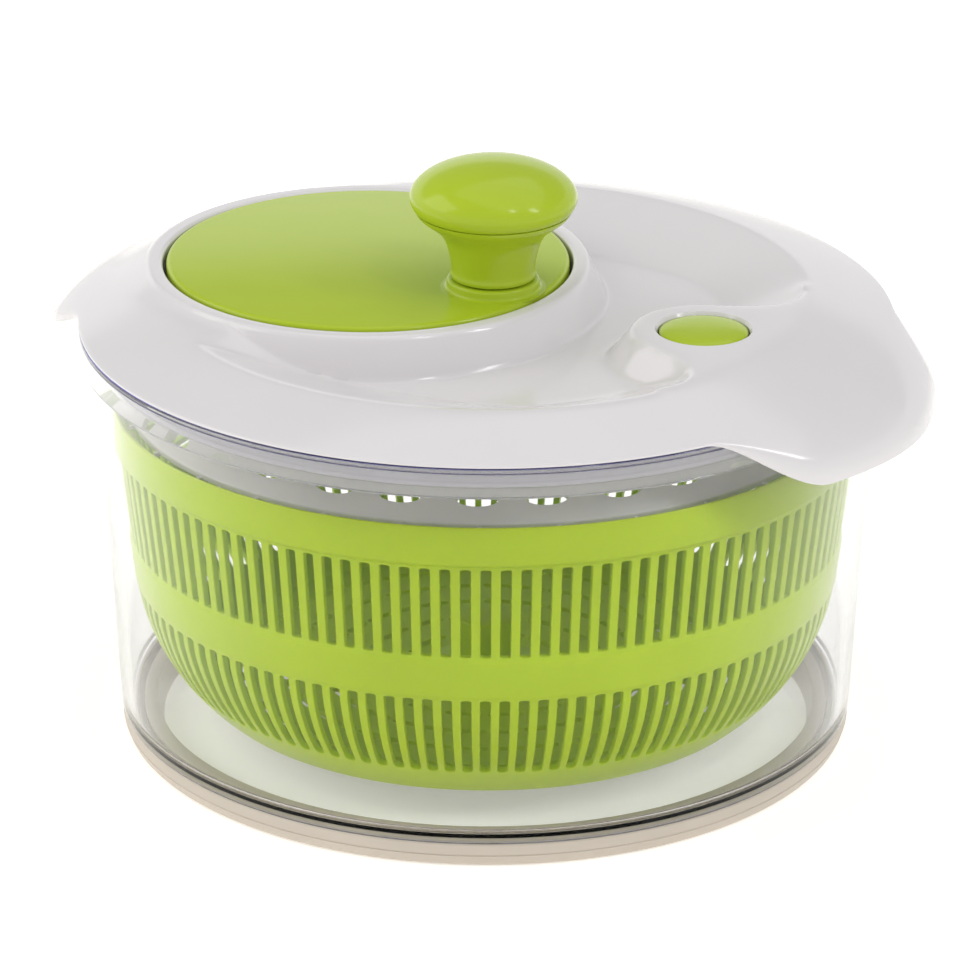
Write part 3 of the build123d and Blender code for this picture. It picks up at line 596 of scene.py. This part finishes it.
def signedDistance(x, y, outline):
    # distance to a closed outline, negative inside
    best = np.full(x.shape, 1e9)
    inside = np.zeros(x.shape, bool)
    for (ax, ay), (bx, by) in zip(outline, np.roll(outline, -1, axis=0)):
        dx, dy = bx - ax, by - ay
        t = np.clip(((x - ax) * dx + (y - ay) * dy) / max(dx * dx + dy * dy, 1e-9), 0, 1)
        best = np.minimum(best, (x - ax - t * dx) ** 2 + (y - ay - t * dy) ** 2)
        crosses = (ay > y) != (by > y)
        inside ^= crosses & (x < (bx - ax) * (y - ay) / (by - ay if by != ay else 1e-9) + ax)
    return np.where(inside, -1, 1) * np.sqrt(best)


halfTongue = spline(tongueEdge, 6)
tongueOutline = np.concatenate([halfTongue, (halfTongue * [1, -1])[::-1][:-1]])


def domeZ(r):
    return lid["crestZ"] + lid["fall"] * (r - lid["crestR"]) + lid["bow"] * (r - lid["crestR"]) ** 2


def lidTop(x, y):
    r = np.hypot(x, y)
    azimuth = np.abs(np.degrees(np.arctan2(y, x)))
    fromWell = np.hypot(x - lid["axis"], y)
    dome = smoothMin(domeZ(r), lid["crestZ"] + 0.3, 0.5)
    side = smoothMin(lid["collarZ"] - 0.3, lid["collarZ"] - lid["sideSlope"] * (fromWell - 64.5), 0.6)
    outer = smoothMax(dome, side, 1.0)
    crease = lid["crease"] + lid["creaseWide"] * ease((82 - azimuth) / 30)
    depth = lid["crestZ"] + 0.35 - lid["floorZ"]
    slope = lid["floorZ"] + (r - crease) / (lid["crestR"] + 0.6 - crease) * depth
    ramp = lid["floorZ"] + (azimuth - lid["rampFrom"]) / (lid["rampTo"] - lid["rampFrom"]) * 11.2
    hollow = smoothMax(smoothMax(lid["floorZ"], slope, 0.5), ramp, 0.8)
    tongue = lid["crestZ"] + 0.4 - 1.45 * signedDistance(x, y, tongueOutline)
    hollow = smoothMax(hollow, tongue, 1.2)
    top = smoothMin(outer, hollow, 0.9)
    wallZ = lid["collarZ"] - lid["collarSlope"] * (fromWell - lid["collarR"])
    collar = smoothMin(lid["collarZ"], wallZ, 0.9)
    return np.minimum(smoothMax(top, collar, 0.5), lid["collarZ"])


def lobeShare(shape, azimuth):
    return ease((shape["half"] - azimuth) / shape["shoulder"])


def lidMesh():
    count = lid["around"]
    turn = np.arange(count) * 2 * np.pi / count
    degrees = np.degrees(turn)
    toGrip = np.minimum(degrees, 360 - degrees)
    toLip = np.abs(degrees - 180)
    g, l = lobeShare(grip, toGrip), lobeShare(lip, toLip)
    crown = grip["crown"] * np.where(toGrip < 24, 0.5 + 0.5 * np.cos(np.pi * toGrip / 24), 0)
    edgeR = lid["rimR"] - 0.02 + grip["reach"] * g + crown + lip["reach"] * l
    roll = 1.3 + (grip["roll"] - 1.3) * g + (lip["roll"] - 1.3) * l
    bend = 0.25 + (grip["turn"] - 0.25) * g + (lip["turn"] - 0.25) * l
    lowZ = lid["seatZ"] + (grip["low"] - lid["seatZ"]) * g + (lip["low"] - lid["seatZ"]) * l
    cosT, sinT = np.cos(turn), np.sin(turn)

    rings = []  # (x, y, z) arrays, one for each row of the closed loop

    def polar(r, z):
        rings.append((r * cosT, r * sinT, z + 0 * turn))

    def aroundWell(r, z):
        rings.append((lid["axis"] + r * cosT, r * sinT, z + 0 * turn))

    wellR = lid["wellR"]
    for z in (lid["floorZ"], 130.0, 134.0, 137.0):
        aroundWell(wellR, z)
    for out, drop in ((0.06, 0.72), (0.25, 0.38), (0.6, 0.12)):
        aroundWell(wellR + out, lid["collarZ"] - drop)

    # top surface: rows round the well, then rows that turn into the outer edge
    near = 10.0 - 5.5 * ease((60 - toLip) / 60)
    startR = edgeR - roll
    wellRows = 17
    for k in range(1, wellRows + 1):
        rr = wellR + 0.6 + near * (k / wellRows)
        x, y = lid["axis"] + rr * cosT, rr * sinT
        rings.append((x, y, lidTop(x, y)))
    lastX, lastY = rings[-1][0], rings[-1][1]
    endX, endY = startR * cosT, startR * sinT
    for k in range(1, lid["across"] + 1):
        s = k / lid["across"]
        x, y = lastX + (endX - lastX) * s, lastY + (endY - lastY) * s
        rings.append((x, y, lidTop(x, y)))
    startZ = rings[-1][2]

    # rolled edge, then the skirt, its lower edge and the hollow behind it
    slope = (startZ - lidTop((startR - 0.5) * cosT, (startR - 0.5) * sinT)) / 0.5
    kneeZ = startZ + slope * roll
    endZ = np.maximum(kneeZ - bend, lowZ + 0.35)
    for k in range(1, 9):
        t = k / 8
        r = (1 - t) ** 2 * startR + 2 * t * (1 - t) * edgeR + t * t * edgeR
        z = (1 - t) ** 2 * startZ + 2 * t * (1 - t) * kneeZ + t * t * endZ
        polar(r, z)
    skirt = np.clip(endZ - lowZ, 0.3, None)
    for share in (0.6, 0.3):
        polar(edgeR, lowZ + 0.3 + (skirt - 0.3) * share)
    innerR = np.maximum(edgeR - 2.2, np.minimum(lid["jointR"], edgeR - 0.9))
    thickness = edgeR - innerR
    for share, up in ((0.02, 0.28), (0.12, 0.08), (0.35, 0.0), (0.65, 0.0), (0.88, 0.08), (0.98, 0.28)):
        polar(edgeR - thickness * share, lowZ + up)
    hollowTop = startZ - lid["skin"]
    hollow = np.clip((edgeR - 124) / 4, 0, 1)
    wallR = np.minimum(lid["jointR"], innerR)
    hollowR = innerR - (innerR - wallR) * hollow * 0.35
    share = np.sqrt(np.clip((edgeR - innerR) / roll, 0, 1))
    skinZ = share ** 2 * startZ + 2 * (1 - share) * share * kneeZ + (1 - share) ** 2 * endZ
    hollowEnd = np.maximum(np.minimum(skinZ - 1.7, hollowTop), lowZ)
    for k in range(1, 7):
        t = k / 6
        kneeIn = np.maximum(hollowEnd, lowZ + 0.3)
        r = (1 - t) ** 2 * innerR + 2 * t * (1 - t) * innerR + t * t * hollowR
        z = (1 - t) ** 2 * (lowZ + 0.3) + 2 * t * (1 - t) * kneeIn + t * t * kneeIn
        polar(r, z)
    underRim = np.minimum(lidTop(wallR * cosT, wallR * sinT) - lid["skin"], lid["seatZ"] - 0.02)
    underRim = np.maximum(underRim, lowZ)
    for s in (0.5, 1.0):
        polar(hollowR + (wallR - hollowR) * s, np.maximum(hollowEnd + (underRim - hollowEnd) * s, lowZ))
    polar(wallR, lid["seatZ"])
    plugR, plugIn = lid["plugR"], lid["plugR"] - lid["plugWall"]
    for r, z in (
        (plugR + 0.4, lid["seatZ"]), (plugR, lid["seatZ"] - 0.4), (plugR, lid["plugLow"] + 0.6),
        (plugR - 0.2, lid["plugLow"] + 0.15), (plugR - 0.6, lid["plugLow"]), (plugIn + 0.5, lid["plugLow"]),
        (plugIn, lid["plugLow"] + 0.5), (plugIn, 125.0),
    ):
        polar(r, z)
    innerX, innerY = plugIn * cosT, plugIn * sinT
    farX, farY = lid["axis"] + (wellR + 4.4) * cosT, (wellR + 4.4) * sinT
    for k in range(0, 26):
        s = k / 25
        x, y = innerX + (farX - innerX) * s, innerY + (farY - innerY) * s
        rings.append((x, y, lidTop(x, y) - lid["skin"]))
    aroundWell(wellR + 2.2, lid["floorZ"] - 0.6)
    aroundWell(wellR + 2.2, lid["floorZ"] - 2.2)
    aroundWell(wellR, lid["floorZ"] - 2.2)
    points = np.stack([np.stack(ring, axis=1) for ring in rings]).reshape(-1, 3) * mm
    rows = len(rings)
    faces = []
    for i in range(rows):
        a, b = i * count, (i + 1) % rows * count
        for k in range(count):
            n = (k + 1) % count
            faces.append((a + k, a + n, b + n, b + k))
    return points.tolist(), faces


lidShell = meshPiece("lid_cover", *lidMesh(), whiteAbs, "lid", "white_lid", ("lid_shell",), 50)
print("lid mesh", len(lidShell.data.vertices))
crankAt, brakeAt = (lid["axis"], 0.0), (lid["brakeX"], 0.0)
guide = {"low": lid["brakeSeat"] - 2.0, "stemR": 5.3, "outR": 16.2, "topZ": 133.9, "holeTop": 141, "flare": 0.7}
buttonHole = rounded([
    (0, lid["brakeSeat"] - 4, 0), (lid["brakeR"], lid["brakeSeat"] - 4, 0), (lid["brakeR"], 134.9, 0.3),
    (lid["brakeR"] + guide["flare"], 135.9, 0.0), (lid["brakeR"] + guide["flare"], guide["holeTop"], 0),
    (0, guide["holeTop"], 0),
])
cutWith(lidShell, scratchPiece("buttonHole", *lathe(buttonHole, 128, brakeAt)))
smoothShade(lidShell, 50)

turnedPiece("brake_guide", rounded([
    (guide["stemR"], guide["low"], 0.2), (guide["outR"], guide["low"], 0.8), (guide["outR"], guide["topZ"], 0),
    (lid["brakeR"], guide["topZ"], 0), (lid["brakeR"], lid["brakeSeat"], 0.4),
    (guide["stemR"], lid["brakeSeat"], 0.2), (guide["stemR"], guide["low"], 0.2),
]), whiteAbs, "lid", "white_lid", (), 96, brakeAt)

well = {
    "low": 123.6, "top": 125.8, "outR": 61.6, "axleR": 6.06, "axleBossR": 8.65, "axleLow": 119.9,
    "axleHigh": 130.55, "shaftR": 8.06, "shaftBossR": 10.6, "shaftLow": 117.9, "shaftHigh": 125.75,
}
floorPlate = turnedPiece("well_floor", rounded([
    (0, well["low"], 0), (well["outR"], well["low"], 0), (well["outR"], well["top"], 0), (0, well["top"], 0),
]), whiteAbs, "lid", "white_lid", (), 240, crankAt)
for name, radius, at in (("axleHole", well["axleR"], crankAt), ("shaftHole", well["shaftR"], (0.0, 0.0))):
    hole = [(0, 110), (radius, 110), (radius, 140), (0, 140)]
    cutWith(floorPlate, scratchPiece(name, *lathe(hole, 64, at)))
smoothShade(floorPlate, 35)
turnedPiece("axle_boss", rounded([
    (well["axleR"], well["axleLow"], 0.2), (well["axleBossR"], well["axleLow"], 0.3),
    (well["axleBossR"], 123.7, 0), (well["axleBossR"], well["axleHigh"], 0.4),
    (well["axleR"], well["axleHigh"], 0.2), (well["axleR"], well["axleLow"], 0),
]), whiteAbs, "lid", "white_lid", (), 96, crankAt)
turnedPiece("shaft_boss", rounded([
    (well["shaftR"], well["shaftLow"], 0.2), (well["shaftBossR"], well["shaftLow"], 0.4),
    (well["shaftBossR"], well["shaftHigh"], 0.2), (well["shaftR"], well["shaftHigh"], 0.1),
    (well["shaftR"], well["shaftLow"], 0),
]), whiteAbs, "lid", "white_lid", (), 96)
print("lid ready")


crank = {
    "discR": 59.8, "topZ": 138.5, "underZ": 135.9, "skirtZ": 130.0, "skirt": 1.6, "hubR": 8.0, "hubZ": 131.6,
    "boreR": 4.02, "bossR": 13.6, "bossH": 3.0, "spindleR": 3.05, "edge": 1.5, "reach": 44.6, "swing": -5.7,
}  # millimetres, and swing in degrees
swing = math.radians(crank["swing"])
knobAt = (lid["axis"] + crank["reach"] * math.cos(swing), crank["reach"] * math.sin(swing))


def crankProfile(c):
    skirtIn, socket = c["discR"] - c["skirt"], c["underZ"] + 0.8
    return rounded([
        (0, c["topZ"], 0), (c["discR"], c["topZ"], c["edge"]), (c["discR"], c["skirtZ"], 0.5),
        (skirtIn, c["skirtZ"], 0.5), (skirtIn, c["underZ"], 0.6), (c["hubR"], c["underZ"], 0.8),
        (c["hubR"], c["hubZ"], 0.3), (c["boreR"], c["hubZ"], 0.2), (c["boreR"], socket, 0), (0, socket, 0),
    ], 6)


def seatProfile(c):
    low, top = c["topZ"] - 0.5, c["topZ"] + c["bossH"]
    return rounded([
        (c["spindleR"], low, 0), (c["bossR"] + 2.0, low, 0), (c["bossR"] + 2.0, c["topZ"], 0),
        (c["bossR"], c["topZ"] + 0.02, 1.2), (c["bossR"], top, 0.9), (c["spindleR"], top, 0.2),
        (c["spindleR"], low, 0),
    ], 6)


turnedPiece("crank_cover", crankProfile(crank), limeAbs, "crank", "lime_crank", ("crank_disc",), 256, crankAt)
turnedPiece("knob_seat", seatProfile(crank), limeAbs, "crank", "lime_crank", (), 128, knobAt)

knob = {"low": 141.8, "jointZ": 162.6, "headR": 24.5, "browZ": 166.0, "topZ": 177.17, "steps": 28}
stemSide = spline([
    (12.6, 143.2), (12.35, 144.6), (12.7, 147.6), (13.4, 150.8), (14.6, 154.0), (16.6, 156.6),
    (19.4, 158.9), (21.9, 160.9), (23.0, knob["jointZ"] - 0.15),
], 5)
stem = [(3.1, knob["low"]), (11.6, knob["low"]), (12.3, knob["low"] + 0.25), (12.6, knob["low"] + 0.8)]
stem += [tuple(p) for p in stemSide.tolist()]
stem += [(22.6, knob["jointZ"]), (6.2, knob["jointZ"]), (6.2, 159.8), (3.1, 159.8), (3.1, knob["low"])]
turnedPiece("knob_stem_cover", stem, limeAbs, "knob", "lime_crank", ("knob_stem",), 160, knobAt)
rise = knob["topZ"] - knob["browZ"]
head = [(0.0, 166.4), (6.2, 166.4), (6.2, knob["jointZ"] + 0.02), (22.6, knob["jointZ"] + 0.02)]
head += [(23.15, knob["jointZ"] + 0.3), (23.9, knob["jointZ"] + 1.3), (24.35, knob["jointZ"] + 2.4)]
for k in range(knob["steps"]):
    t = math.pi / 2 * k / knob["steps"]
    head.append((knob["headR"] * math.cos(t), knob["browZ"] + rise * math.sin(t)))
head.append((0.0, knob["topZ"]))
turnedPiece("knob_head_cover", head, limeAbs, "knob", "lime_crank", ("knob_head",), 160, knobAt)

cap = {"outR": 12.95, "skirtR": 11.3, "sleeveR": 5.0, "stemR": 3.6, "low": 130.5, "topZ": 136.39}
buttonSide = spline([
    (cap["outR"], 134.4), (12.75, 135.0), (11.8, 135.5), (9.2, 136.0), (5.0, 136.3), (0.0, cap["topZ"]),
], 5)
button = [
    (0.0, 133.4), (cap["stemR"], 133.4), (cap["stemR"], 130.4), (cap["sleeveR"], 130.4),
    (cap["sleeveR"], 133.0), (cap["skirtR"], 133.0), (cap["skirtR"], cap["low"]), (cap["outR"], cap["low"]),
]
button += [tuple(p) for p in buttonSide.tolist()]
button[-1] = (0.0, cap["topZ"])
turnedPiece("button_cap", button, limeAbs, "brake", "lime_button", ("brake_button",), 128, brakeAt, 40)
print("crank, knob and button ready")


plate = {
    "topZ": 113.6, "thick": 2.0, "flatR": 92.0, "edgeR": 106.3, "edgeZ": 104.2, "hubR": 10.0, "hubLow": 108.0,
    "hubHigh": 117.3, "boreR": 5.02, "pairs": 15, "pairHalf": 5.65, "first": 14.25, "windowR": 98.4,
    "long": 12.0, "wide": 5.6, "sides": 28,
}  # millimetres and degrees


def plateProfile(p):
    low, top = p["topZ"] - p["thick"], p["topZ"]
    return rounded([
        (p["boreR"], p["hubLow"], 0.2), (p["hubR"], p["hubLow"], 0.5), (p["hubR"], low, 1.0),
        (p["flatR"] - 0.8, low, 2.0), (p["edgeR"] - 2.2, p["edgeZ"] - 0.2, 0.6),
        (p["edgeR"], p["edgeZ"] - 0.6, 0.4), (p["edgeR"], p["edgeZ"] + 1.4, 0.8),
        (p["flatR"], top, 3.0), (p["hubR"], top, 1.0), (p["hubR"], p["hubHigh"], 0.5),
        (p["boreR"], p["hubHigh"], 0.2), (p["boreR"], p["hubLow"], 0.2),
    ])


def ovalCutters(p):
    drop = p["topZ"] - p["edgeZ"] - 1.4
    run = p["edgeR"] - p["flatR"]
    tilt = math.atan2(drop, run)
    z = p["topZ"] - (p["windowR"] - p["flatR"]) * math.tan(tilt)
    points, faces = [], []
    sides, half = p["sides"], p["pairHalf"]
    angles = [360 / p["pairs"] * k + p["first"] + side for k in range(p["pairs"]) for side in (-half, half)]
    for angle in angles:
        turn = Matrix.Rotation(math.radians(angle), 4, "Z")
        place = turn @ Matrix.Translation((p["windowR"], 0, z)) @ Matrix.Rotation(tilt, 4, "Y")
        start = len(points)
        for h in (-6, 6):
            for i in range(sides):
                a = 2 * math.pi * i / sides
                spot = Vector((p["wide"] / 2 * math.cos(a), p["long"] / 2 * math.sin(a), h))
                points.append(tuple(place @ spot * mm))
        faces.append(tuple(range(start + sides - 1, start - 1, -1)))
        faces.append(tuple(range(start + sides, start + 2 * sides)))
        faces += sideFaces(start, sides)
    return points, faces


driveDisc = turnedPiece(
    "drive_plate_cover", plateProfile(plate), whitePp, "drive", "plate_plastic", ("drive_plate",), 240,
)
cutWith(driveDisc, scratchPiece("ovals", *ovalCutters(plate)))
smoothShade(driveDisc, 35)


def boxes(places, size):
    # small blocks round a circle: (radius, height, degrees), and half sizes outwards, sideways and upwards
    points, faces = [], []
    for r, z, degrees in places:
        turn = Matrix.Rotation(math.radians(degrees), 4, "Z")
        start = len(points)
        for dz in (-1, 1):
            for dx, dy in ((-1, -1), (1, -1), (1, 1), (-1, 1)):
                points.append(tuple(turn @ Vector((r + dx * size[0], dy * size[1], z + dz * size[2])) * mm))
        for f in ((3, 2, 1, 0), (4, 5, 6, 7), (0, 1, 5, 4), (1, 2, 6, 5), (2, 3, 7, 6), (3, 0, 4, 7)):
            faces.append(tuple(start + i for i in f))
    return points, faces


tabs = [(plate["edgeR"] + 0.5, plate["edgeZ"] - 0.05, 9.0 + 12.0 * k) for k in range(30)]
bevelEdges(meshPiece("drive_tabs", *boxes(tabs, (1.0, 0.65, 0.6)), whitePp, "drive", "plate_plastic"), 0.25)
ribs = [(108.2, 100.0, 6.0 + 60.0 * k) for k in range(6)]
bevelEdges(meshPiece("basket_ribs", *boxes(ribs, (1.0, 1.0, 3.9)), limePp, "basket", "lime_basket"), 0.3)
print("drive plate ready")


finishes = {
    stainless: ("pivot_pin", "liner_screws", "gear_screws", "crank_axle", "knob_spindle", "knob_screw",
                "drive_shaft", "drive_washer", "plate_screw", "axle_clip"),
    springWire: ("brake_spring",),
    acetal: ("basket_bush", "axle_bush", "shaft_bush", "ring_gear", "drive_pinion", "brake_plunger"),
    whitePp: ("lid_liner",),
    padRubber: ("brake_pad",),
}
for material, names in finishes.items():
    for name in names:
        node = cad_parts[name]
        if not node.material_slots:
            node.data.materials.append(material)
        for place in node.material_slots:
            place.material = material


studio = {
    "floor": "#fffefb", "glow": 0.36, "sheet": 5.0, "low": (0.84, 1.2), "high": (0.38, 0.66),
    "left": (-0.88, -0.47, 0.0), "front": (0.47, -0.88, 0.0), "key": 8.0, "top": 9.0, "streak": 3.0,
}  # low and high are the sky's strengths near the horizon (right, left) and above it (back, front)
# the sheet's half size and the camera's place are in metres, its angles in degrees and its lens in millimetres
view = {"place": (0.7364, -1.3849, 0.7199), "azimuth": 27.96, "down": 22.46, "roll": 0.24, "lens": 209.3}


def floorMaterial():
    material, tree = newMaterial("white sheet, matt")
    place = addNode(tree, "ShaderNodeTexCoord").outputs["Object"]
    fibre = addNode(tree, "ShaderNodeTexNoise", {"Scale": 1 / (2 * mm), "Detail": 2.0}, {"Vector": place})
    bump = addNode(tree, "ShaderNodeBump", {"Strength": 0.1, "Distance": 0.05 * mm}, {
        "Height": fibre.outputs["Fac"],
    })
    shader = addNode(tree, "ShaderNodeBsdfPrincipled", {
        "Base Color": linear(studio["floor"]), "Roughness": 0.75, "Specular IOR Level": 0.2,
        "Emission Color": linear("#fffdf8"), "Emission Strength": studio["glow"],
    }, {"Normal": bump.outputs["Normal"]})
    finishMaterial(tree, shader.outputs["BSDF"])
    return material


def floorSheet():
    size = studio["sheet"]
    corners = [(-size, -size, 0), (size, -size, 0), (size, size, 0), (-size, size, 0)]
    mesh = bpy.data.meshes.new("floor_sheet")
    mesh.from_pydata(corners, [], [(0, 1, 2, 3)])
    mesh.materials.append(floorMaterial())
    sheet = bpy.data.objects.new("floor_sheet", mesh)
    bpy.context.scene.collection.objects.link(sheet)


def softbox(name, place, target, width, height, watts, colour="#ffffff"):
    light = bpy.data.lights.new(name, "AREA")
    light.shape = "RECTANGLE"
    light.size, light.size_y = width, height
    light.energy = watts
    light.color = linear(colour)[:3]
    lamp = bpy.data.objects.new(name, light)
    lamp.location = place
    lamp.rotation_euler = (Vector(target) - Vector(place)).to_track_quat("-Z", "Y").to_euler()
    bpy.context.scene.collection.objects.link(lamp)


def setCamera():
    data = bpy.data.cameras.new("camera")
    data.lens = view["lens"]
    data.sensor_width = 36.0
    data.clip_end = 20.0
    camera = bpy.data.objects.new("camera", data)
    camera.matrix_world = (
        Matrix.Translation(view["place"])
        @ Matrix.Rotation(math.radians(view["azimuth"]), 4, "Z")
        @ Matrix.Rotation(math.radians(90 - view["down"]), 4, "X")
        @ Matrix.Rotation(math.radians(view["roll"]), 4, "Z")
    )
    bpy.context.scene.collection.objects.link(camera)
    bpy.context.scene.camera = camera


def setWorld():
    world = bpy.data.worlds.new("studio")
    world.use_nodes = True
    tree = world.node_tree
    tree.nodes.clear()
    direction = addNode(tree, "ShaderNodeTexCoord").outputs["Generated"]
    axes = addNode(tree, "ShaderNodeSeparateXYZ", links={"Vector": direction})
    toLeft, toFront = [
        addNode(tree, "ShaderNodeVectorMath", {"operation": "DOT_PRODUCT", 1: studio[side]}, {0: direction})
        for side in ("left", "front")
    ]
    low = addNode(tree, "ShaderNodeMapRange", {
        "From Min": -1.0, "From Max": 1.0, "To Min": studio["low"][0], "To Max": studio["low"][1],
    }, {"Value": toLeft.outputs["Value"]}).outputs["Result"]
    high = addNode(tree, "ShaderNodeMapRange", {
        "From Min": -0.3, "From Max": 0.8, "To Min": studio["high"][0], "To Max": studio["high"][1],
    }, {"Value": toFront.outputs["Value"]}).outputs["Result"]
    above = addNode(tree, "ShaderNodeMapRange", {
        "From Min": 0.32, "From Max": 0.385, "interpolation_type": "SMOOTHSTEP",
    }, {"Value": axes.outputs["Z"]}).outputs["Result"]
    strength = addNode(tree, "ShaderNodeMix", links={0: above, 2: low, 3: high}).outputs[0]
    sky = addNode(tree, "ShaderNodeBackground", {"Color": (1.0, 1.0, 1.0, 1.0)}, {"Strength": strength})
    addNode(tree, "ShaderNodeOutputWorld", links={"Surface": sky.outputs["Background"]})
    bpy.context.scene.world = world
    bpy.context.scene.view_settings.view_transform = "Standard"


setWorld()
setCamera()
floorSheet()
softbox("key_left", (-1.2, -0.55, 1.05), (0, 0, 0.1), 1.3, 1.0, studio["key"], "#fffdf8")
softbox("top", (0.2, 0.35, 1.75), (0, 0, 0.1), 2.2, 1.8, studio["top"])
softbox("streak_right", (1.3, 0.1, 1.15), (0, 0, 0.12), 0.16, 0.5, studio["streak"])
softbox("streak_front", (0.9, -0.45, 1.45), (0, 0, 0.12), 0.12, 0.35, studio["streak"] * 0.5)
print("studio ready")
